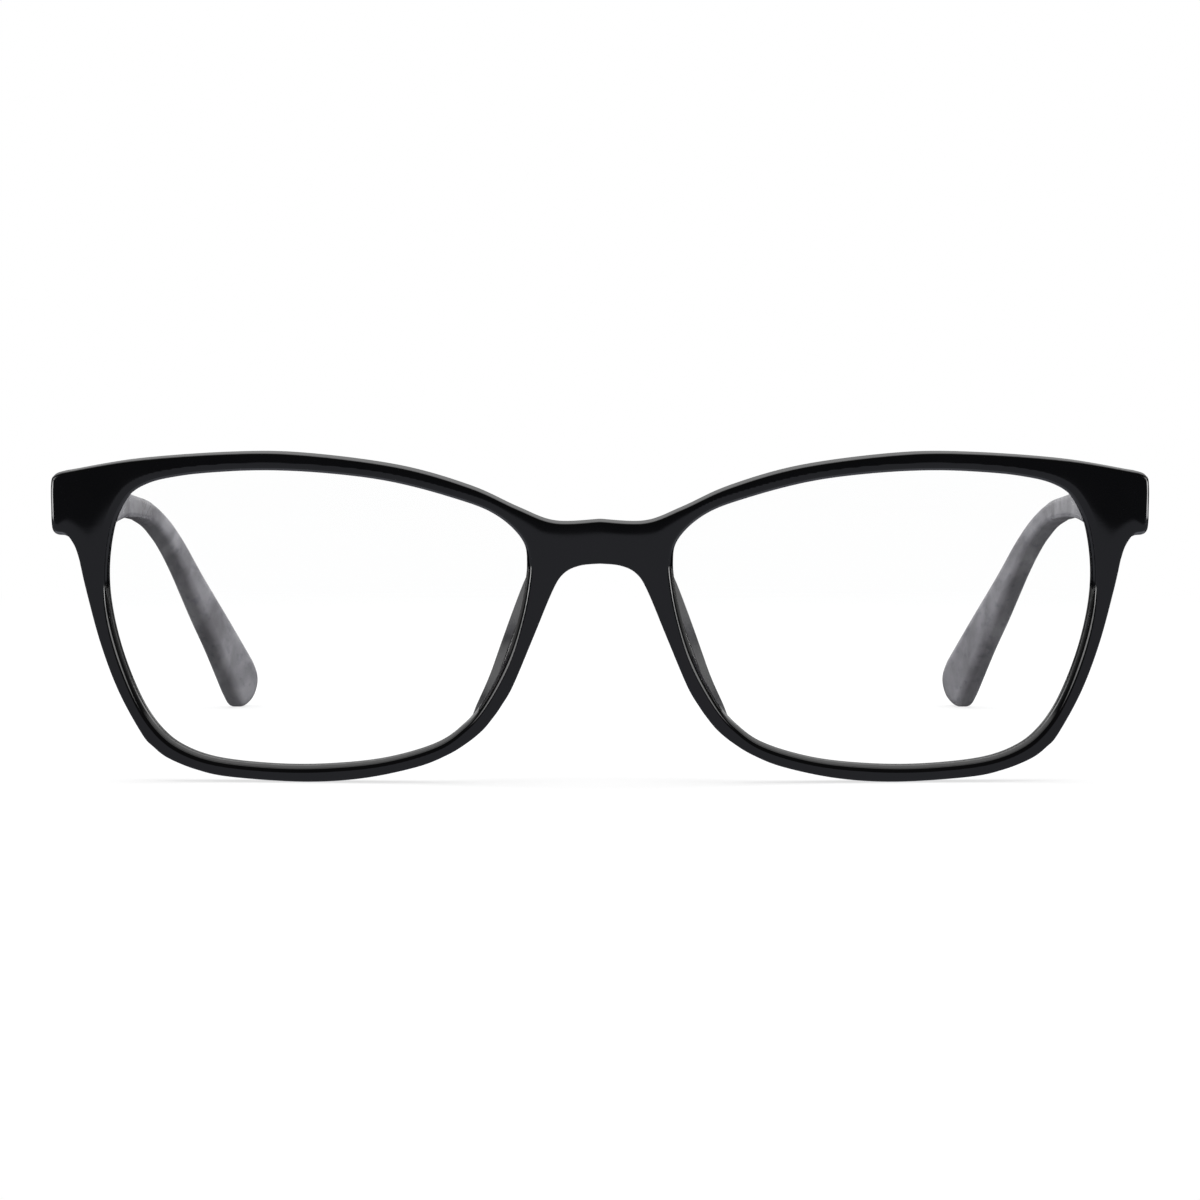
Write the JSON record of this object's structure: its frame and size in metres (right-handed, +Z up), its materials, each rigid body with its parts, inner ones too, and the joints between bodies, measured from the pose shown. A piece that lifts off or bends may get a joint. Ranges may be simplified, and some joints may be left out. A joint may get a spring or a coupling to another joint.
{
  "type": "eyeglasses frame",
  "caption": "Full-rim plastic eyeglasses frame with bonded nose pads, clear display lenses, riveted barrel hinges and fold-in marbled temples with curved tips.",
  "frame": {"origin": "middle of the box's underside, on the surface that the lower rims and temple tips stand on, temples open", "axes": "+X to the right as seen from the front, which is the wearer's left, and names that end in _right are on that side; -Y the way the front faces; +Y back along the temples; +Z up"},
  "size_m": [0.1366, 0.1348, 0.0413],
  "materials": {
    "front_plastic": "polished black acetate",
    "demo_lens": "clear polished display lens",
    "pad_plastic": "polished smoke-black acetate",
    "hinge_metal": "tumbled nickel silver",
    "rivet_metal": "satin nickel silver",
    "screw_metal": "turned steel",
    "temple_acetate": "polished grey marbled acetate",
    "core_metal": "drawn nickel silver wire"
  },
  "bodies": {
    "front": {"front_frame": "front_plastic", "lens_left": "demo_lens", "nose_pad_left": "pad_plastic", "hinge_front_leaf_left": "hinge_metal", "front_rivet_left_1": "rivet_metal", "front_rivet_left_2": "rivet_metal", "hinge_screw_left": "screw_metal", "lens_right": "demo_lens", "nose_pad_right": "pad_plastic", "hinge_front_leaf_right": "hinge_metal", "front_rivet_right_1": "rivet_metal", "front_rivet_right_2": "rivet_metal", "hinge_screw_right": "screw_metal"},
    "temple_arm_left": {"temple_left": "temple_acetate", "hinge_temple_leaf_left": "hinge_metal", "temple_rivet_left_1": "rivet_metal", "temple_rivet_left_2": "rivet_metal", "temple_core_wire_left": "core_metal"},
    "temple_arm_right": {"temple_right": "temple_acetate", "hinge_temple_leaf_right": "hinge_metal", "temple_rivet_right_1": "rivet_metal", "temple_rivet_right_2": "rivet_metal", "temple_core_wire_right": "core_metal"}
  },
  "joints": [
    {"name": "temple_fold_right", "type": "hinge", "parent": "front", "child": "temple_arm_right", "pos_m": [0.0635, -0.05178, 0.03398], "axis": [0, 0.0529, 0.9986], "range_deg": [0, 86]},
    {"name": "temple_fold_left", "type": "hinge", "parent": "front", "child": "temple_arm_left", "pos_m": [-0.0635, -0.05178, 0.03398], "axis": [0, -0.0529, -0.9986], "range_deg": [0, 77]}
  ]
}
